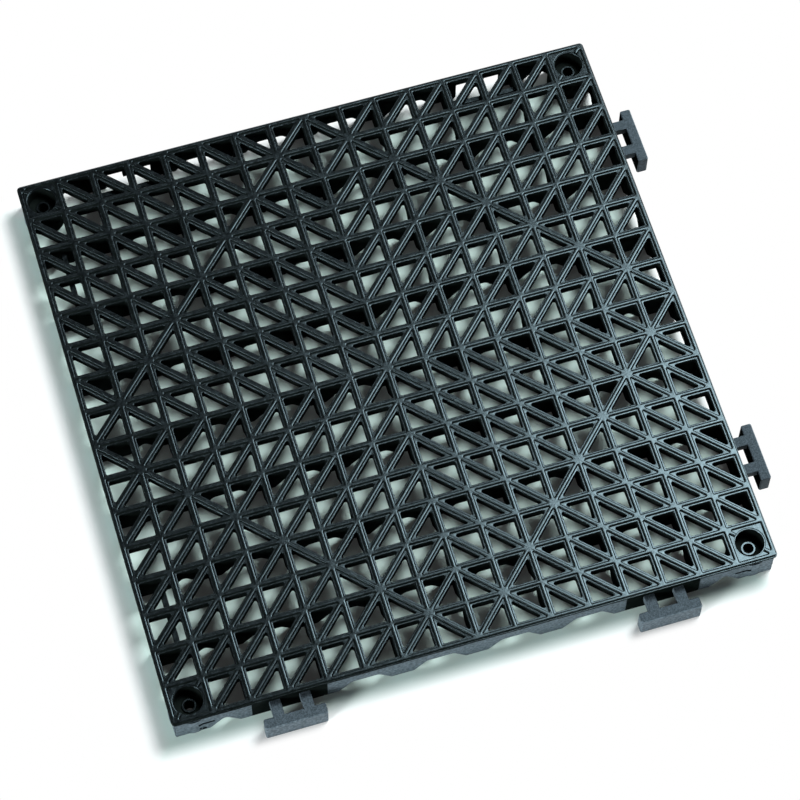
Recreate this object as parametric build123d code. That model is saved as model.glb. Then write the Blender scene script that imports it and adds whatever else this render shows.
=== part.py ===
from build123d import *
import os

# Interlocking open-grid floor tile, moulded in one piece, in millimetres.
# The origin is on the floor under the middle of the tile, +Z is up, and the tabs point to +X and -Y.

# Overall size
tile_side = 304.8
tile_height = 19.0
corner_radius = 2.0

# Grid of square cells, each crossed by one diagonal rib
cells = 16
rim_to_line = 1.4  # from the tile's edge to the middle of the outermost ribs
pitch = (tile_side - 2 * rim_to_line) / cells

# Every rib is a plain bar here, without the fine raised line that runs along its top
rib_width = 4.0
rib_depth = 6.0

# Skirt and under-walls, which stand on the floor below every second line of ribs
wall_thickness = 2.4
lip_depth = 2.0
lip_overhang = 1.0  # how far the rim's lip stands out over the skirt
arch_height = 8.0
arch_crown = 13.4
arch_span = 26.8
corner_arch_crown = 2.0  # beside a corner's broad foot the arch is cut short on the foot's side

# Screw pad in each corner cell: a counterbore in a boss, on a face sunk between raised lines
raised_line = 1.1
pad_depth = 0.8
bore_diameter = 14.3
bore_depth = 8.2
screw_diameter = 5.0
boss_wall = 3.4

# Tabs, two on each of two sides: a hook bar carried by two stems
stem_width = 5.5
stem_gap = 9.5
stem_depth = 4.8
tab_drop = 0.2  # from the ribs' underside down to the tab's top
tab_reach = 7.0  # from the tile's edge to the bar
bar_overhang = 5.25  # past each stem
bar_thickness = 5.4
bar_floor_gap = 0.5

# Sockets for the next tile's tabs, two on each of the other two sides
slot_clearance = 1.65  # beside each stem
stop_clearance = 0.4  # behind the hook bar
stop_floor_gap = 3.0

# Levels and places that follow from the sizes
half_side = tile_side / 2
half_grid = cells * pitch / 2
pad_level = tile_height - pad_depth
rib_level = tile_height - rib_depth
lip_level = tile_height - lip_depth
skirt_face = half_side - lip_overhang
tab_level = rib_level - tab_drop
arch_flank = (arch_span - arch_crown) / 2
inner_lines = range(3, cells - 1, 2)
even_lines = range(2, cells, 2)
tab_lines = (3, cells - 3)
upright = (Align.CENTER, Align.CENTER, Align.MIN)


def place(line):
    """Where a grid line runs, counted from the -X or -Y side."""
    return line * pitch - half_grid


def between(x_range, y_range, z_range):
    """Block between two faces along each axis."""
    lows, highs = zip(sorted(x_range), sorted(y_range), sorted(z_range))
    size = [high - low for low, high in zip(lows, highs)]
    return Pos(*lows) * Box(*size, align=(Align.MIN, Align.MIN, Align.MIN))


def rounded_slab(half, radius, bottom, top):
    outline = fillet(Rectangle(2 * half, 2 * half).vertices(), radius)
    return extrude(Pos(0, 0, bottom) * outline, top - bottom)


def triangle(width, bottom):
    """Prism up to the deck's top that fits above a cell's rising diagonal, between ribs this wide."""
    edge = pitch / 2 - width / 2
    slant = edge - width / 2 * 2**0.5
    outline = Polyline((-edge, edge), (-edge, -slant), (slant, edge), close=True)
    return extrude(Pos(0, 0, bottom) * make_face(outline), tile_height - bottom)


def is_corner(column, row):
    return column in (0, cells - 1) and row in (0, cells - 1)


def rises(column, row):
    """The diagonals run towards the tile's middle, apart from those on its diamond."""
    across = column - (cells - 1) / 2
    along = row - (cells - 1) / 2
    on_diamond = abs(across) + abs(along) == cells / 2
    return (across * along > 0) != on_diamond


def deck_cutters():
    """Two drain holes a cell, or in a corner cell the two halves of its sunk pad."""
    hole = triangle(rib_width, rib_level)
    pad = triangle(raised_line, pad_level)
    cutters = []
    for column in range(cells):
        for row in range(cells):
            middle = Pos(place(column + 0.5), place(row + 0.5), 0)
            turn = 0 if rises(column, row) else 90
            shape = pad if is_corner(column, row) else hole
            cutters += [middle * Rot(0, 0, angle) * shape for angle in (turn, turn + 180)]
    return cutters


def wall_pockets():
    """Cutters for the hollows under the deck, which leave the walls and the skirt standing."""
    edge = skirt_face - wall_thickness
    middles = [place(line) for line in even_lines]
    lows = [-edge] + [middle + wall_thickness / 2 for middle in middles]
    highs = [middle - wall_thickness / 2 for middle in middles] + [edge]
    spans = list(zip(lows, highs))
    return [between(x_span, y_span, (0, rib_level)) for x_span in spans for y_span in spans]


def passage(left, right):
    """Arch cut right through along Y, with its crown between two places along X."""
    corners = [
        (left - arch_flank, 0),
        (right + arch_flank, 0),
        (right, arch_height),
        (left, arch_height),
    ]
    profile = Plane.XZ * make_face(Polyline(*corners, close=True))
    return extrude(profile, tile_side, both=True)


def arches():
    """Cutters for the arches below the odd lines, which leave feet at the walls' crossings."""
    passages = [passage(place(line) - arch_crown / 2, place(line) + arch_crown / 2) for line in inner_lines]
    left_end = place(1) + arch_crown / 2
    right_end = place(cells - 1) - arch_crown / 2
    passages.append(passage(left_end - corner_arch_crown, left_end))
    passages.append(passage(right_end, right_end + corner_arch_crown))
    return passages + [Rot(0, 0, 90) * along_y for along_y in passages]


def walled_blank():
    """Closed deck with its lip, on the skirt and the arched walls."""
    lip = rounded_slab(half_side, corner_radius, lip_level, tile_height)
    skirt = rounded_slab(skirt_face, corner_radius - lip_overhang, 0, lip_level)
    return (lip + skirt) - wall_pockets() - arches()


def boss():
    """Plain outside of one corner's boss, and the cutter for its counterbore and screw hole."""
    outside = Cylinder(bore_diameter / 2 + boss_wall, rib_level, align=upright)
    seat = pad_level - bore_depth
    counterbore = Pos(0, 0, seat) * Cylinder(bore_diameter / 2, tile_height - seat, align=upright)
    return outside, counterbore + Cylinder(screw_diameter / 2, tile_height, align=upright)


def tab():
    """Hook bar on two stems that leave the skirt's -Y face, centred on x = 0."""
    near = half_side + tab_reach
    stem_end = stem_gap / 2 + stem_width
    stem = between((stem_gap / 2, stem_end), (-skirt_face, -near), (tab_level - stem_depth, tab_level))
    bar_end = stem_end + bar_overhang
    bar = between((-bar_end, bar_end), (-near, -near - bar_thickness), (bar_floor_gap, tab_level))
    return bar + stem + mirror(stem, Plane.YZ)


def socket():
    """Cutter for a socket's two slots in the +Y skirt, and what stands between and behind them."""
    wall = (skirt_face - wall_thickness, skirt_face)
    post_half = stem_gap / 2 - slot_clearance
    slot_end = stem_gap / 2 + stem_width + slot_clearance
    slots = between((-slot_end, slot_end), wall, (0, rib_level))
    post = between((-post_half, post_half), wall, (0, rib_level))
    stop_face = half_side - tab_reach - bar_thickness - stop_clearance
    stop_half = pitch - wall_thickness / 2
    stop_levels = (stop_floor_gap, rib_level)
    stop = between((-stop_half, stop_half), (stop_face - wall_thickness, stop_face), stop_levels)
    return slots, post + stop


tile = walled_blank()

slots, fittings = socket()
for turn in (Rot(), Rot(0, 0, 90)):
    for line in tab_lines:
        at_line = turn * Pos(place(line), 0, 0)
        tile = tile - at_line * slots + [at_line * fittings, at_line * tab()]

outside, bores = boss()
corner_cells = [Pos(place(x), place(y), 0) for x in (0.5, cells - 0.5) for y in (0.5, cells - 0.5)]
tile += [corner * outside for corner in corner_cells]
tile -= [corner * bores for corner in corner_cells] + deck_cutters()

os.makedirs("parts", exist_ok=True)
export_step(tile, "parts/floor_tile.step")
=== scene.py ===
import math

import bmesh
import bpy
from mathutils import Matrix, Vector


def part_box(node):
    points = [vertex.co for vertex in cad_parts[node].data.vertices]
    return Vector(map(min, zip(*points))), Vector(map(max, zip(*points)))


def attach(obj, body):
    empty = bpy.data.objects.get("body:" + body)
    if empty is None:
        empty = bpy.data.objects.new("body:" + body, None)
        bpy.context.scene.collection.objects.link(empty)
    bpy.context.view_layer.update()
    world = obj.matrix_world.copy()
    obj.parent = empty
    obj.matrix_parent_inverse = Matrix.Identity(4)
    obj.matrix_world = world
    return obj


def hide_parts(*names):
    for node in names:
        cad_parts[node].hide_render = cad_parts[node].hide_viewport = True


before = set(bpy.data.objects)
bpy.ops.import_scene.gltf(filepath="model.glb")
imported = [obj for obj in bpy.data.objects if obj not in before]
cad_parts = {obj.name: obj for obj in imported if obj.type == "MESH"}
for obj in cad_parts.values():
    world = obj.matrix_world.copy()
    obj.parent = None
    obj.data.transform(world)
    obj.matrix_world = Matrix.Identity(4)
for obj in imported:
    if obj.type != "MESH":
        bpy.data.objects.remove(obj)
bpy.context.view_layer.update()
tileLow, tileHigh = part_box("floor_tile")
mm = 0.001  # the mesh code below works in millimetres, and the finished mesh is scaled to metres
overlap = 0.5  # mm, how far joined shapes reach into each other, and cutters past what they cut
side = -2 * tileLow.x / mm  # the -X and +Y sides have no tabs
top = tileHigh.z / mm
print(f"frame loaded: tile {side:.1f} mm square and {top:.1f} mm high")


# a hex colour as sRGB, turned to the linear values that the shaders take
def linear(hexColour):
    parts = [int(hexColour[i:i + 2], 16) / 255 for i in (1, 3, 5)]
    return [p / 12.92 if p <= 0.04045 else ((p + 0.055) / 1.055) ** 2.4 for p in parts] + [1]


# adds a node with its settings, and links or sets its inputs
def addNode(tree, kind, settings=(), inputs=()):
    made = tree.nodes.new(kind)
    for name, value in dict(settings).items():
        setattr(made, name, value)
    for name, value in dict(inputs).items():
        if isinstance(value, bpy.types.NodeSocket):
            tree.links.new(value, made.inputs[name])
        else:
            made.inputs[name].default_value = value
    return made


def newMaterial(name):
    material = bpy.data.materials.new(name)
    material.use_nodes = True
    material.node_tree.nodes.clear()
    return material, material.node_tree


# camera: solved from the tile's corners and rib crossings, in the photo's square frame
cameraView = {
    "eye": (-0.21504, -0.69242, 1.49080),
    "lookAt": (0.00070, -0.01948, 0.019),
    "roll": 0.98,  # degrees, right side up
    "lens": 148.084,
    "sensor": 36.0,
}


def addCamera():
    data = bpy.data.cameras.new("camera")
    data.lens = cameraView["lens"]
    data.sensor_width = cameraView["sensor"]
    camera = bpy.data.objects.new("camera", data)
    bpy.context.scene.collection.objects.link(camera)
    eye = Vector(cameraView["eye"])
    aim = (Vector(cameraView["lookAt"]) - eye).to_track_quat("-Z", "Y").to_matrix().to_4x4()
    roll = Matrix.Rotation(math.radians(cameraView["roll"]), 4, "Z")
    camera.matrix_world = Matrix.Translation(eye) @ aim @ roll
    bpy.context.scene.camera = camera


addCamera()
print("camera placed")


# corners of an outline, moved in and rounded, as one ring of points at one level
def roundedRing(corners, inset, radius, level, steps):
    ring = []
    for i, corner in enumerate(corners):
        before = (corner - corners[i - 1]).normalized()
        after = (corners[(i + 1) % len(corners)] - corner).normalized()
        inward = (after - before).normalized()
        halfAngle = math.acos(max(-1, min(1, -before.dot(after)))) / 2
        middle = corner + inward * (inset + radius) / math.sin(halfAngle)
        start = math.atan2(-before.x, before.y)
        sweep = math.pi - 2 * halfAngle
        for k in range(steps + 1):
            angle = start + sweep * k / steps
            ring.append((middle.x + radius * math.cos(angle), middle.y + radius * math.sin(angle), level))
    return ring


def circleRing(radius, level, steps):
    turns = [2 * math.pi * k / steps for k in range(steps)]
    return [(radius * math.cos(a), radius * math.sin(a), level) for a in turns]


# joins rings of as many points into a skin, with flat faces on its ends where they are closed
def skin(mesh, rings, placing=Matrix(), closedStart=True, closedEnd=True):
    rows = [[mesh.verts.new(placing @ Vector(point)) for point in ring] for ring in rings]
    for lower, upper in zip(rows, rows[1:]):
        for i in range(len(lower)):
            j = (i + 1) % len(lower)
            mesh.faces.new((lower[i], lower[j], upper[j], upper[i]))
    if closedStart:
        mesh.faces.new(list(reversed(rows[0])))
    if closedEnd:
        mesh.faces.new(rows[-1])
    return rows


def rectangle(x0, x1, y0, y1):
    return [Vector((x0, y0)), Vector((x1, y0)), Vector((x1, y1)), Vector((x0, y1))]


# turns a bmesh into an object; its points merge where they meet
def toObject(mesh, name):
    bmesh.ops.remove_doubles(mesh, verts=mesh.verts, dist=1e-4)
    bmesh.ops.recalc_face_normals(mesh, faces=mesh.faces)
    data = bpy.data.meshes.new(name)
    mesh.to_mesh(data)
    mesh.free()
    made = bpy.data.objects.new(name, data)
    bpy.context.scene.collection.objects.link(made)
    return made


# adds or cuts closed helper objects, which are then thrown away
def combine(target, helpers, operation):
    for helper in helpers:
        step = target.modifiers.new("step", "BOOLEAN")
        step.solver = "MANIFOLD"
        step.operation = operation
        step.object = helper
        bpy.context.view_layer.update()
        data = bpy.data.meshes.new_from_object(target.evaluated_get(bpy.context.evaluated_depsgraph_get()))
        target.modifiers.clear()
        old = target.data
        target.data = data
        bpy.data.meshes.remove(old)
        bpy.data.objects.remove(helper)


# deck: square cells, each crossed by one diagonal rib, with a raised line along every rib
deck = {
    "cells": 16,
    "rimToLine": 1.4,  # from the tile's edge to the outermost ribs' middle
    "ribWidth": 4.0,
    "ribDepth": 6.0,
    "ribDraft": 0.25,  # how much the ribs' sides lean in towards their underside
    "lineHeight": 0.8,  # the raised line
    "lineCrown": 4.4,  # radius of its domed top
    "lineCrownSlopes": (3.5, 7.0),  # degrees, where the dome has points
    "lineEdge": 0.25,  # radius of the rounding along its edges
    "lineEdgeSlope": 48.0,  # degrees, where that rounding ends
    "lineFoot": 1.2,  # half its width at the foot
    "lineCorner": 1.3,  # in the corners the line's rings turn round one point
    "holeRadius": 0.65,  # in the corners of the drain holes
    "holeEdge": 0.35,  # radius of the rounding along them
    "cornerRadius": 2.0,  # of the whole tile
    "rimEdge": 0.12,  # bevels of the rim and the skirt's foot
    "lipOverhang": 1.0,  # how far the rim's lip stands out over the skirt
    "lipDepth": 2.0,
    "lipEdge": 0.1,
    "skirtThickness": 2.4,
    "arcSteps": 3,  # per corner of a hole
    "edgeSlopes": (0, 30, 60, 90),  # degrees, where the rounding along the holes has points
    "rimSteps": 5,  # per corner of the tile
}
cells = deck["cells"]
pitch = (side - 2 * deck["rimToLine"]) / cells
half = side / 2
skirtFace = half - deck["lipOverhang"]
ribLevel = top - deck["ribDepth"]
padLevel = top - deck["lineHeight"]
lipLevel = top - deck["lipDepth"]


def place(line):
    return (line - cells / 2) * pitch


# the diagonals run towards the tile's middle, apart from those on its diamond
def rises(column, row):
    across = column - (cells - 1) / 2
    along = row - (cells - 1) / 2
    onDiamond = abs(across) + abs(along) == cells / 2
    return (across * along > 0) != onDiamond


def isCorner(column, row):
    return column in (0, cells - 1) and row in (0, cells - 1)


# the two triangles that a cell's diagonal leaves, counter-clockwise
def cellTriangles(column, row):
    a, b, c, d = rectangle(place(column), place(column + 1), place(row), place(row + 1))
    if rises(column, row):
        return [a, b, c], [a, c, d]
    return [a, b, d], [b, c, d]


# how far in from the ribs' middle, how far below the top, and how round the corners: down the raised line
def lineProfile():
    arcs = [(slope, deck["lineCrown"]) for slope in deck["lineCrownSlopes"]]
    arcs.append((deck["lineEdgeSlope"], deck["lineEdge"]))
    points = []
    out = down = before = 0
    for slope, radius in arcs:
        turned = math.radians(slope)
        out += radius * (math.sin(turned) - math.sin(before))
        down += radius * (math.cos(before) - math.cos(turned))
        before = turned
        points.append((out, down))
    points.append((deck["lineFoot"], deck["lineHeight"]))
    return [(0, 0, 0)] + [(out, down, deck["lineCorner"] - out) for out, down in points]


# across the ledge, over its rounded edge, down the drain hole and back under the rib
def holeProfile():
    wide = deck["ribWidth"] / 2
    edge = deck["holeEdge"]
    points = []
    for slope in deck["edgeSlopes"]:
        back = edge * (1 - math.sin(math.radians(slope)))
        drop = edge * (1 - math.cos(math.radians(slope)))
        points.append((wide - back, deck["lineHeight"] + drop, deck["holeRadius"] + back))
    foot = deck["ribDraft"]
    return points + [(wide - foot, deck["ribDepth"], deck["holeRadius"] + foot), (0, deck["ribDepth"], 0)]


# outwards from the outermost ribs' middle: raised line, rim, lip and skirt, and back up inside it
def rimProfile():
    edge = deck["rimEdge"]
    lipEdge = deck["lipEdge"]
    rim = deck["rimToLine"]
    skirt = rim - deck["lipOverhang"]
    inner = deck["skirtThickness"] - skirt
    corner = deck["cornerRadius"]
    skirtCorner = corner - deck["lipOverhang"]
    line = [(out, top - down, out) for out, down, _ in lineProfile()]
    return line[:-1] + [
        (rim - 3 * lipEdge, padLevel, corner - 4 * lipEdge),
        (rim - edge, padLevel, corner - 2 * lipEdge),
        (rim, padLevel - edge, corner),
        (rim, lipLevel + lipEdge, corner),
        (rim - lipEdge, lipLevel, corner - lipEdge),
        (skirt + 2 * lipEdge, lipLevel, skirtCorner + 2 * lipEdge),
        (skirt, lipLevel - 2 * lipEdge, skirtCorner),
        (skirt, edge, skirtCorner),
        (skirt - edge, 0, skirtCorner - lipEdge),
        (edge - inner, 0, 0),
        (-inner, edge, 0),
        (-inner, ribLevel, 0),
    ]


# a ring round the whole tile, with a point at every rib that ends there
def rimRing(out, level, radius):
    corners = rectangle(place(0), place(cells), place(0), place(cells))
    arcs = roundedRing(corners, -out, radius, level, deck["rimSteps"])
    perCorner = deck["rimSteps"] + 1
    edge = place(cells) + out
    ring = []
    for number in range(4):
        ring += arcs[number * perCorner:(number + 1) * perCorner]
        for line in range(1, cells):
            along = place(line)
            across = [(along, -edge), (edge, along), (-along, edge), (-edge, -along)][number]
            ring.append((*across, level))
    return ring


def buildDeck():
    mesh = bmesh.new()
    steps = deck["arcSteps"]
    for column in range(cells):
        for row in range(cells):
            for triangle in cellTriangles(column, row):
                profile = lineProfile()
                closed = isCorner(column, row)
                if not closed:
                    profile += holeProfile()
                rings = [
                    roundedRing(triangle, inset, radius, top - down, steps)
                    for inset, down, radius in profile
                ]
                skin(mesh, rings, closedStart=False, closedEnd=closed)
                if closed:
                    mesh.faces.new([mesh.verts.new((p.x, p.y, ribLevel)) for p in reversed(triangle)])
    rings = [rimRing(*point) for point in rimProfile()]
    skin(mesh, rings + [rimRing(0, ribLevel, 0)], closedStart=False, closedEnd=False)
    return toObject(mesh, "floor_tile_moulding")


tile = buildDeck()
print("deck:", len(tile.data.vertices), "points")


# tabs on the -Y and +X sides, sockets on the +Y and -X sides
joins = {
    "lines": (3, 13),
    "stemWidth": 5.5,
    "stemGap": 9.5,
    "stemDepth": 4.8,
    "topBelowRibs": 0.2,
    "reach": 7.0,  # from the tile's edge to the hook bar
    "barOverhang": 5.25,  # past each stem
    "barThickness": 5.4,
    "barFloorGap": 0.5,
    "barRadius": 0.9,  # of its upright corners
    "barSteps": 4,
    "edge": 0.4,  # rounding along bars and stems
    "edgeSteps": 2,
    "slotClearance": 1.65,  # beside each stem of the next tile
    "slotEdge": 0.3,
    "stopClearance": 0.4,  # behind its hook bar
    "stopFloorGap": 3.0,
}
tabLevel = ribLevel - joins["topBelowRibs"]


# walls under every second line of ribs, with arches that leave feet at their crossings
walls = {
    "thickness": 2.4,
    "foot": 0.25,  # bevel at the floor
    "archHeight": 8.0,
    "archCrown": 13.4,  # its width at the crown
    "archSpan": 26.8,  # and at the floor
    "cornerCrown": 2.0,  # beside a corner's broad foot the arch is cut short
    "crownRadius": 3.0,
    "footRadius": 1.6,
    "bendSteps": 4,  # in each of these roundings
    "cutterReach": 5.0,  # past the tile's edge
}


# one wall as a bar with bevelled feet, along X, reaching into the ribs and the skirt
def wallBar(placing):
    mesh = bmesh.new()
    t = walls["thickness"] / 2
    f = walls["foot"]
    reach = skirtFace - 2 * overlap
    upper = ribLevel + overlap
    section = [(-t + f, 0), (t - f, 0), (t, f), (t, upper), (-t, upper), (-t, f)]
    skin(mesh, [[(x, y, z) for y, z in section] for x in (-reach, reach)], placing)
    return toObject(mesh, "wall")


# one arch's outline: the flanks' corners are rounded at the crown and at the feet
def archOutline(width):
    crown = width / 2
    span = crown + (walls["archSpan"] - walls["archCrown"]) / 2
    rise = walls["archHeight"]
    slope = Vector((span - crown, -rise)).normalized()
    points = []
    for corner, before, after, radius in (
        (Vector((crown, rise)), Vector((1, 0)), slope, min(walls["crownRadius"], width)),
        (Vector((span, 0)), slope, Vector((1, 0)), walls["footRadius"]),
    ):
        turn = before.angle(after)
        back = radius * math.tan(turn / 2)
        start, end = corner - before * back, corner + after * back
        for k in range(walls["bendSteps"] + 1):
            s = k / walls["bendSteps"]
            points.append(start * (1 - s) ** 2 + corner * 2 * s * (1 - s) + end * s * s)
    right = [(p.x, p.y) for p in points]
    left = [(-x, z) for x, z in reversed(right)]
    low = -4 * overlap
    return left + right + [(right[-1][0], low), (left[0][0], low)]


def archCutter(line, placing):
    mesh = bmesh.new()
    width = walls["archCrown"]
    middle = place(line)
    if line in (1, cells - 1):
        middle *= 1 - (width - walls["cornerCrown"]) / 2 / abs(middle)
        width = walls["cornerCrown"]
    outline = [(middle + x, z) for x, z in archOutline(width)]
    far = half + walls["cutterReach"]
    behindTab = line in joins["lines"]  # the skirt stays whole there
    near = walls["thickness"] - skirtFace if behindTab else -far
    skin(mesh, [[(x, y, z) for x, z in outline] for y in (near, far)], placing)
    return toObject(mesh, "arch")


quarterTurn = Matrix.Rotation(math.radians(90), 4, "Z")
for line in range(2, cells, 2):
    across = wallBar(Matrix.Translation((0, place(line), 0)))
    along = wallBar(quarterTurn @ Matrix.Translation((0, place(line), 0)))
    combine(tile, [across, along], "UNION")
for line in range(1, cells, 2):
    combine(tile, [archCutter(line, Matrix()), archCutter(line, quarterTurn)], "DIFFERENCE")
print("walls:", len(tile.data.vertices), "points")


# a bar along Y with rounded edges, between two x values and two levels
def barAlongY(x0, x1, y0, y1, z0, z1, edge, placing):
    mesh = bmesh.new()
    section = roundedRing(rectangle(x0, x1, z0, z1), 0, edge, 0, joins["edgeSteps"])
    skin(mesh, [[(x, y, z) for x, z, _ in section] for y in (y0, y1)], placing)
    return toObject(mesh, "bar")


# a hook bar on two stems that start inside the skirt
def tabParts(placing):
    near = half + joins["reach"]
    edge = joins["edge"]
    inner = joins["stemGap"] / 2
    outer = inner + joins["stemWidth"]
    ends = outer + joins["barOverhang"]
    low = tabLevel - joins["stemDepth"]
    start = walls["thickness"] / 2 - skirtFace
    stems = [
        barAlongY(x0, x1, -near - 3 * overlap, start, low, tabLevel, edge, placing)
        for x0, x1 in ((inner, outer), (-outer, -inner))
    ]
    mesh = bmesh.new()
    rings = []
    for inset, level in (
        (edge, joins["barFloorGap"]),
        (0, joins["barFloorGap"] + edge),
        (0, tabLevel - edge),
        (edge, tabLevel),
    ):
        outline = rectangle(-ends, ends, -near - joins["barThickness"], -near)
        rings.append(roundedRing(outline, inset, joins["barRadius"], level, joins["barSteps"]))
    skin(mesh, rings, placing)
    return [toObject(mesh, "hook")] + stems


# slots in the skirt for the next tile's stems, with a post between them and a stop behind
def socketParts(placing):
    wall = walls["thickness"]
    inner = joins["stemGap"] / 2 - joins["slotClearance"]
    outer = joins["stemGap"] / 2 + joins["stemWidth"] + joins["slotClearance"]
    edge = joins["slotEdge"]
    slots = [
        barAlongY(x0, x1, skirtFace - wall - overlap, skirtFace + overlap, -1, ribLevel, edge, placing)
        for x0, x1 in ((inner, outer), (-outer, -inner))
    ]
    stopFace = half - joins["reach"] - joins["barThickness"] - joins["stopClearance"]
    reach = pitch - wall / 2 + overlap
    low = joins["stopFloorGap"]
    stop = barAlongY(-reach, reach, stopFace - wall, stopFace, low, ribLevel + overlap, edge, placing)
    return slots, stop


for turn in (Matrix(), quarterTurn):
    for line in joins["lines"]:
        spot = turn @ Matrix.Translation((place(line), 0, 0))
        slots, stop = socketParts(spot)
        combine(tile, slots, "DIFFERENCE")
        combine(tile, [stop] + tabParts(spot), "UNION")
print("tabs and sockets:", len(tile.data.vertices), "points")


# screw pads: a stepped counterbore in a boss, with a small raised ring round the screw hole
pads = {
    "boreRadius": 7.15,
    "boreDepth": 8.2,
    "boreEdge": 0.5,  # bevel round its floor
    "mouthStep": 0.5,  # the mouth is wider than the bore by this
    "mouthDepth": 0.4,
    "mouthEdge": 0.3,
    "stepEdge": 0.12,
    "screwRadius": 2.5,
    "screwEdge": 0.4,
    "ringRadius": 3.7,
    "ringHeight": 0.8,
    "ringEdges": (0.2, 0.25),  # inner and outer
    "ringFoot": 0.15,
    "bossWall": 3.4,
    "bossFoot": 0.8,  # rounding at the floor
    "sides": 48,
}


def bossObject(placing):
    mesh = bmesh.new()
    radius = pads["boreRadius"] + pads["bossWall"]
    foot = pads["bossFoot"]
    bend = 0.3 * foot
    profile = [(radius - foot, 0), (radius - bend, bend), (radius, foot), (radius, ribLevel + 2 * overlap)]
    skin(mesh, [circleRing(r, z, pads["sides"]) for r, z in profile], placing)
    return toObject(mesh, "boss")


def boreCutter(placing):
    mesh = bmesh.new()
    seat = padLevel - pads["boreDepth"]
    bore = pads["boreRadius"]
    boreEdge = pads["boreEdge"]
    mouth = bore + pads["mouthStep"]
    mouthFloor = padLevel - pads["mouthDepth"]
    mouthEdge = pads["mouthEdge"]
    bend = 0.3 * mouthEdge
    step = pads["stepEdge"]
    screw = pads["screwRadius"]
    screwEdge = pads["screwEdge"]
    ring = pads["ringRadius"]
    ringTop = seat + pads["ringHeight"]
    ringInner, ringOuter = pads["ringEdges"]
    profile = [
        (screw + screwEdge, -1),
        (screw + screwEdge, 0),
        (screw, screwEdge),
        (screw, ringTop - ringInner),
        (screw + ringInner, ringTop),
        (ring - ringOuter, ringTop),
        (ring, ringTop - ringOuter),
        (ring + pads["ringFoot"], seat),
        (bore - boreEdge, seat),
        (bore, seat + boreEdge),
        (bore, mouthFloor - step),
        (bore + step, mouthFloor),
        (mouth, mouthFloor),
        (mouth, padLevel - mouthEdge),
        (mouth + bend, padLevel - bend),
        (mouth + mouthEdge, padLevel + 0.01),
        (mouth + mouthEdge, top + 1),
    ]
    skin(mesh, [circleRing(r, z, pads["sides"]) for r, z in profile], placing)
    return toObject(mesh, "bore")


for column in (0, cells - 1):
    for row in (0, cells - 1):
        spot = Matrix.Translation((place(column + 0.5), place(row + 0.5), 0))
        combine(tile, [bossObject(spot)], "UNION")
        combine(tile, [boreCutter(spot)], "DIFFERENCE")
print("screw pads:", len(tile.data.vertices), "points")


# small flaws of the moulding, as x, y and z ranges: slits and dents in the front skirt, and a notch beside
# one screw hole
flaws = {
    "slitLeft": ((-139.8, -131.7), (-152.0, -150.6), (7.0, 8.8)),
    "slitRight": ((131.7, 139.8), (-152.0, -150.6), (7.0, 8.8)),
    "dentMiddle": ((-139.4, -138.4), (-152.0, -150.6), (2.6, 4.4)),
    "dentLow": ((-137.9, -135.9), (-152.0, -150.6), (0.8, 2.8)),
    "notch": ((143.6, 144.6), (-147.1, -145.6), (9.8, 11.2)),
}


def cutFlaw(spans):
    mesh = bmesh.new()
    (x0, x1), (y0, y1), (z0, z1) = spans
    outline = rectangle(x0, x1, y0, y1)
    skin(mesh, [[(corner.x, corner.y, z) for corner in outline] for z in (z0, z1)])
    return toObject(mesh, "flaw")


combine(tile, [cutFlaw(spans) for spans in flaws.values()], "DIFFERENCE")


# injection-moulded black polypropylene: near-black, with a soft blue-grey sheen on all that faces the light
surfaces = {
    "polypropylene_black_semi_matt": {
        "colour": "#040506",
        "colourWorn": "#0c0f11",
        "roughness": 0.24,
        "sheen": 0.5,
        "grainHeight": 0.010,  # mm
        "patchSize": 2.0,  # mm, the mottling of new and worn places
    },
    # drain hole walls, dull from the mould; also painted shade: the raised lines' shaded sides, which look
    # like black lines,
    # the counterbores, the skirt by the tabs and the tabs' inner walls
    "polypropylene_black_dull_walls_and_painted_shade": {
        "colour": "#101514",
        "colourWorn": "#1a201f",
        "roughness": 0.6,
        "sheen": 0.0,
        "grainHeight": 0.015,
        "patchSize": 6.0,
    },
    # the tabs and the skirt's outside are etched: speckled mid-grey without shine on top; paler sides are
    # painted light
    "polypropylene_black_etched_tops_and_painted_shade": {
        "colour": "#191f24",
        "colourWorn": "#49535c",
        "roughness": 0.7,
        "sheen": 0.5,
        "grainHeight": 0.04,
        "patchSize": 0.6,
    },
    # a paler copy: painted light on the sides of the tabs and the skirt's outside
    "polypropylene_black_etched_painted_lit_sides": {
        "colour": "#434f57",
        "colourWorn": "#727f89",
        "roughness": 0.7,
        "sheen": 0.5,
        "grainHeight": 0.03,
        "patchSize": 1.5,
    },
}
plastic = {
    "ior": 1.49,
    "sheenTint": "#ceeefb",
    "grainSize": 0.35,  # mm, the mould's fine spark-eroded grain, drawn as coarse as it needs to show
    "wornRange": (0.35, 0.65),  # of the patches' noise: new below the first, worn above the second
    "roughRange": (0.3, 0.7),
    "roughSpread": (-0.05, 0.06),
    "sharpAngle": 36,  # degrees, steeper edges stay sharp
}


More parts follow.
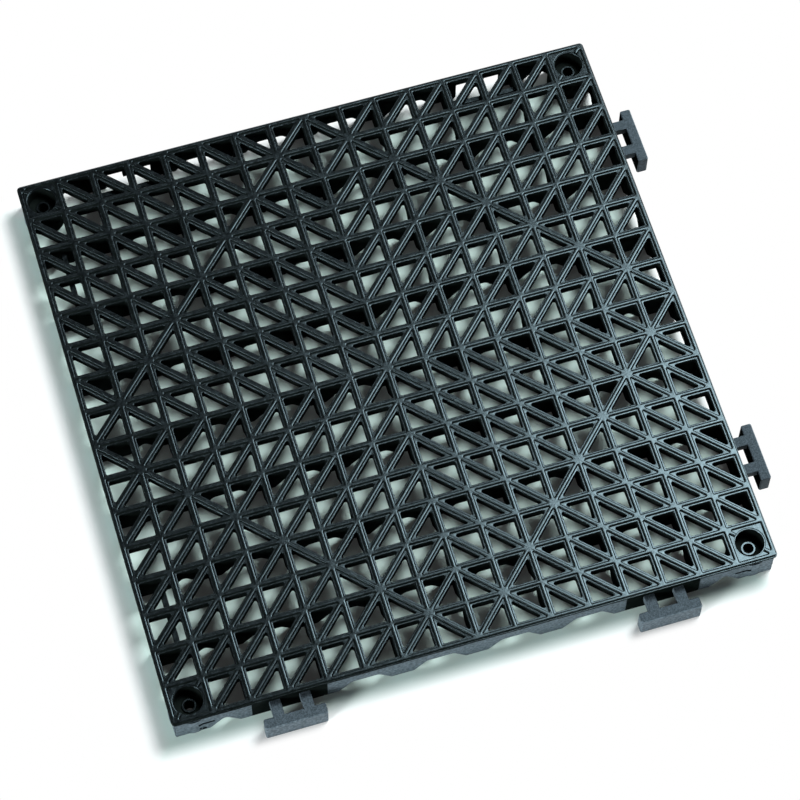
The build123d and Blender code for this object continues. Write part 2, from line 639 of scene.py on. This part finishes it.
def polypropylene(name):
    look = surfaces[name]
    material, tree = newMaterial(name)
    where = addNode(tree, "ShaderNodeTexCoord").outputs["Object"]
    grainScale = 1 / (plastic["grainSize"] * mm)
    grain = addNode(tree, "ShaderNodeTexNoise", inputs={"Vector": where, "Scale": grainScale, "Detail": 3})
    patchScale = 1 / (look["patchSize"] * mm)
    patches = addNode(tree, "ShaderNodeTexNoise", inputs={"Vector": where, "Scale": patchScale, "Detail": 4})
    worn = addNode(
        tree,
        "ShaderNodeMapRange",
        inputs={
            "Value": patches.outputs["Fac"],
            "From Min": plastic["wornRange"][0],
            "From Max": plastic["wornRange"][1],
        },
    )
    colour = addNode(
        tree,
        "ShaderNodeMix",
        {"data_type": "RGBA"},
        {0: worn.outputs["Result"], 6: linear(look["colour"]), 7: linear(look["colourWorn"])},
    )
    rough = addNode(
        tree,
        "ShaderNodeMapRange",
        inputs={
            "Value": patches.outputs["Fac"],
            "From Min": plastic["roughRange"][0],
            "From Max": plastic["roughRange"][1],
            "To Min": look["roughness"] + plastic["roughSpread"][0],
            "To Max": look["roughness"] + plastic["roughSpread"][1],
        },
    )
    bump = addNode(
        tree,
        "ShaderNodeBump",
        inputs={"Height": grain.outputs["Fac"], "Strength": 1.0, "Distance": look["grainHeight"] * mm},
    )
    shader = addNode(
        tree,
        "ShaderNodeBsdfPrincipled",
        inputs={
            "Base Color": colour.outputs[2],
            "Roughness": rough.outputs["Result"],
            "IOR": plastic["ior"],
            "Specular IOR Level": look["sheen"],
            "Specular Tint": linear(plastic["sheenTint"]),
            "Normal": bump.outputs["Normal"],
        },
    )
    addNode(tree, "ShaderNodeOutputMaterial", inputs={"Surface": shader.outputs["BSDF"]})
    return material


semiMatt, dullWallsAndPaintedShade, etchedTopsAndPaintedShade, etchedPaintedLitSides = range(len(surfaces))
facing = {
    "wall": 0.3,  # a face is a wall where its normal's upward part is smaller
    "shadedLineSide": (0.72, 0.3),  # a raised line's side in painted shade: upward part and X part are smaller
    "tabTop": (0.9, 0.5),  # a tab's top: upward part is larger, on its outer edge and elsewhere
    "side": 0.5,  # a side faces one way where that part is larger
    "outer": 0.1,  # and a tab's bevels face outwards where it is larger than this
    "nearby": 0.1,  # mm
}


# painted light and shade on a tab: sides away from the light are as dark as the tops, outer sides paler,
# inner walls dull
def tabSurface(normal, outwards, onXSide):
    outer = outwards > facing["outer"]
    isTop = normal.z > facing["tabTop"][0 if outer else 1]
    if isTop or (onXSide and normal.y < -facing["side"]):
        return etchedTopsAndPaintedShade
    if outer or (not onXSide and normal.x < -facing["side"]):
        return etchedPaintedLitSides
    return dullWallsAndPaintedShade if abs(normal.z) < facing["wall"] else semiMatt


# the surface that any face shows; steep walls are dull, and painted shade dulls the skirt behind the tabs,
# the counterbores and the raised lines' sides away from the soft box on the right; the sides facing it keep
# their sheen
def surfaceNumber(face):
    middle = face.calc_center_median()
    normal = face.normal
    out = max(abs(middle.x), abs(middle.y))
    onXSide = abs(middle.x) > abs(middle.y)
    outwards = normal.x * math.copysign(1, middle.x) if onXSide else normal.y * math.copysign(1, middle.y)
    nearby = facing["nearby"]
    if out > half + nearby:
        return tabSurface(normal, outwards, onXSide)
    if outwards > facing["side"] and out > skirtFace - 2 * nearby and middle.z < lipLevel - nearby:
        # painted light and shade: the skirt's outside is pale, and dull black as painted shade near the tabs
        along = middle.y if onXSide else middle.x
        tabSide = middle.x > 0 if onXSide else middle.y < 0
        inPaintedTabShade = tabSide and min(abs(along - place(line)) for line in joins["lines"]) < pitch
        return dullWallsAndPaintedShade if inPaintedTabShade else etchedPaintedLitSides
    padMiddle = place(cells - 0.5)
    fromBore = math.hypot(abs(middle.x) - padMiddle, abs(middle.y) - padMiddle)
    # painted shade: the counterbore's faces below the pad are dull black
    inPaintedBoreShade = pads["ringRadius"] < fromBore < pads["boreRadius"] and middle.z < padLevel - 1
    lineUp, lineAcross = facing["shadedLineSide"]
    # painted shade: the raised lines' sides that face away from the soft box on the right are dull black
    shadedLineSide = middle.z > padLevel and normal.z < lineUp and normal.x < lineAcross
    return dullWallsAndPaintedShade if abs(normal.z) < facing["wall"] or inPaintedBoreShade or shadedLineSide else semiMatt


def finishTile():
    tile.data.materials.clear()
    for name in surfaces:
        tile.data.materials.append(polypropylene(name))
    mesh = bmesh.new()
    mesh.from_mesh(tile.data)
    bmesh.ops.remove_doubles(mesh, verts=mesh.verts, dist=2e-4)
    mesh.normal_update()
    for face in mesh.faces:
        face.smooth = True
        face.material_index = surfaceNumber(face)
    sharp = math.radians(plastic["sharpAngle"])
    for edge in mesh.edges:
        edge.smooth = len(edge.link_faces) == 2 and edge.calc_face_angle(0) < sharp
    for vertex in mesh.verts:
        vertex.co *= mm
    mesh.to_mesh(tile.data)
    mesh.free()
    weighted = tile.modifiers.new("evenShading", "WEIGHTED_NORMAL")
    weighted.keep_sharp = True
    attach(tile, "root")
    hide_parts("floor_tile")


finishTile()
print("tile finished:", len(tile.data.polygons), "faces")


# white floor: the tile's soft shadow shows close to it, and further out painted light makes the floor white
floorLook = {
    "size": 6.0,
    "colour": "#f0f2f2",
    "paintedShadeTint": "#d9f0ea",  # painted shade: the floor below the tile is tinted greener
    "shadeTintReach": (0.148, 0.156),  # from the shadow's middle, where one colour turns into the other
    "shadowMiddle": 0.006,  # painted white starts further out on the -X and -Y sides, so the shadow reaches further there
    "shadowReach": (0.156, 0.1635),  # from its middle: real shadow up to the first, painted white from the second
    "glow": 0.02,  # share of painted white light in the full shadow
}


def addFloor():
    mesh = bmesh.new()
    s = floorLook["size"] / 2
    mesh.faces.new([mesh.verts.new((x, y, 0)) for x, y in ((-s, -s), (s, -s), (s, s), (-s, s))])
    floor = toObject(mesh, "floor")
    material, tree = newMaterial("matt_white_paper")
    where = addNode(tree, "ShaderNodeTexCoord").outputs["Object"]
    apart = addNode(tree, "ShaderNodeSeparateXYZ", inputs={0: where})
    sides = []
    for axis in "XY":
        shift = floorLook["shadowMiddle"]
        shifted = addNode(tree, "ShaderNodeMath", {"operation": "ADD"}, {0: apart.outputs[axis], 1: shift})
        sides.append(addNode(tree, "ShaderNodeMath", {"operation": "ABSOLUTE"}, {0: shifted.outputs[0]}))
    away = addNode(
        tree, "ShaderNodeMath", {"operation": "MAXIMUM"}, {0: sides[0].outputs[0], 1: sides[1].outputs[0]}
    )
    # painted light: for camera and glossy rays the floor glows white with distance from the tile, fading its
    # shadow
    white = addNode(
        tree,
        "ShaderNodeMapRange",
        {"interpolation_type": "SMOOTHSTEP"},
        {
            "Value": away.outputs[0],
            "From Min": floorLook["shadowReach"][0],
            "From Max": floorLook["shadowReach"][1],
            "To Min": floorLook["glow"],
            "To Max": 1.0,
        },
    )
    outside = addNode(
        tree,
        "ShaderNodeMapRange",
        inputs={
            "Value": away.outputs[0],
            "From Min": floorLook["shadeTintReach"][0],
            "From Max": floorLook["shadeTintReach"][1],
        },
    )
    # painted shade: green tint of the floor below the tile
    colour = addNode(
        tree,
        "ShaderNodeMix",
        {"data_type": "RGBA"},
        {0: outside.outputs[0], 6: linear(floorLook["paintedShadeTint"]), 7: linear(floorLook["colour"])},
    )
    path = addNode(tree, "ShaderNodeLightPath")
    seen = addNode(
        tree,
        "ShaderNodeMath",
        {"operation": "MAXIMUM"},
        {0: path.outputs["Is Camera Ray"], 1: path.outputs["Is Glossy Ray"]},
    )
    share = addNode(
        tree, "ShaderNodeMath", {"operation": "MULTIPLY"}, {0: seen.outputs[0], 1: white.outputs[0]}
    )
    diffuse = addNode(tree, "ShaderNodeBsdfDiffuse", inputs={"Color": colour.outputs[2]})
    glow = addNode(tree, "ShaderNodeEmission", inputs={"Color": (1, 1, 1, 1), "Strength": 1.0})
    parts = {0: share.outputs[0], 1: diffuse.outputs[0], 2: glow.outputs[0]}
    both = addNode(tree, "ShaderNodeMixShader", inputs=parts)
    addNode(tree, "ShaderNodeOutputMaterial", inputs={"Surface": both.outputs[0]})
    floor.data.materials.append(material)


# a soft box high on the right, weaker ones low behind and low in front on the left, and pale walls
lights = {
    "soft_box_right": {"direction": (0.44, 0.24, 0.865), "distance": 2.0, "size": 0.9, "power": 51.0},
    "soft_box_back": {"direction": (0.0, 0.90, 0.44), "distance": 2.0, "size": 1.0, "power": 5.0},
    "soft_box_left": {"direction": (-0.80, -0.45, 0.40), "distance": 2.0, "size": 0.5, "power": 28.0},
}
room = {
    "lightColour": "#faffff",
    "colour": "#f2f6f6",
    "walls": 0.25,
    "ceiling": 0.02,
    "wallTop": (0.25, 0.55),  # upward part of the direction: walls below the first, ceiling above the second
}


def addLights():
    for name, look in lights.items():
        data = bpy.data.lights.new(name, "AREA")
        data.shape = "SQUARE"
        data.size = look["size"]
        data.energy = look["power"]
        data.color = linear(room["lightColour"])[:3]
        lamp = bpy.data.objects.new(name, data)
        bpy.context.scene.collection.objects.link(lamp)
        towards = Vector(look["direction"]).normalized()
        lamp.location = towards * look["distance"]
        lamp.rotation_euler = towards.to_track_quat("Z", "Y").to_euler()


def addRoom():
    world = bpy.data.worlds.new("room")
    bpy.context.scene.world = world
    world.use_nodes = True
    tree = world.node_tree
    tree.nodes.clear()
    where = addNode(tree, "ShaderNodeTexCoord").outputs["Generated"]
    apart = addNode(tree, "ShaderNodeSeparateXYZ", inputs={0: where})
    level = addNode(
        tree,
        "ShaderNodeMapRange",
        {"interpolation_type": "SMOOTHSTEP"},
        {
            "Value": apart.outputs["Z"],
            "From Min": room["wallTop"][0],
            "From Max": room["wallTop"][1],
            "To Min": room["walls"],
            "To Max": room["ceiling"],
        },
    )
    path = addNode(tree, "ShaderNodeLightPath")
    around = addNode(
        tree,
        "ShaderNodeBackground",
        inputs={"Color": linear(room["colour"]), "Strength": level.outputs["Result"]},
    )
    white = addNode(tree, "ShaderNodeBackground", inputs={"Color": (1, 1, 1, 1), "Strength": 1.0})
    seen = path.outputs["Is Camera Ray"]
    both = addNode(tree, "ShaderNodeMixShader", inputs={0: seen, 1: around.outputs[0], 2: white.outputs[0]})
    addNode(tree, "ShaderNodeOutputWorld", inputs={"Surface": both.outputs[0]})


addFloor()
addLights()
addRoom()
bpy.context.scene.view_settings.view_transform = "Standard"
print("floor and light placed")
